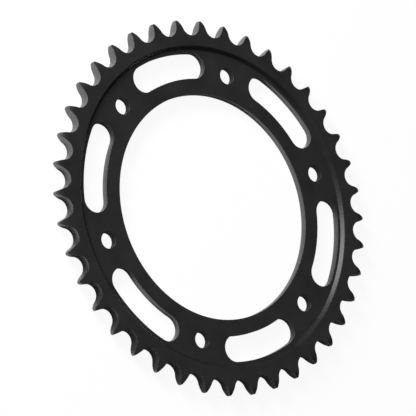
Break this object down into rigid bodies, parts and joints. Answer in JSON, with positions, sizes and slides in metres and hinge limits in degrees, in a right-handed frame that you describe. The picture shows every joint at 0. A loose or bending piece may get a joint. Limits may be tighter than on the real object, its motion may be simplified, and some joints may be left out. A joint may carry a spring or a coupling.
{
  "type": "motorcycle rear sprocket",
  "caption": "Flat steel rear sprocket for a motorcycle chain: toothed ring, thinner recessed web, round centre bore, bolt holes and curved lightening slots, in satin black.",
  "frame": {"origin": "centre of the bore, on the flat back face that rests on the wheel carrier", "axes": "+Z along the wheel axis, out of the recessed front face; +X through the bolt hole that lines up with a tooth"},
  "size_m": [0.2094, 0.2094, 0.0058],
  "materials": {
    "coated_steel": "satin black coating on machined steel"
  },
  "bodies": {
    "root": {"sprocket": "coated_steel"}
  },
  "joints": []
}
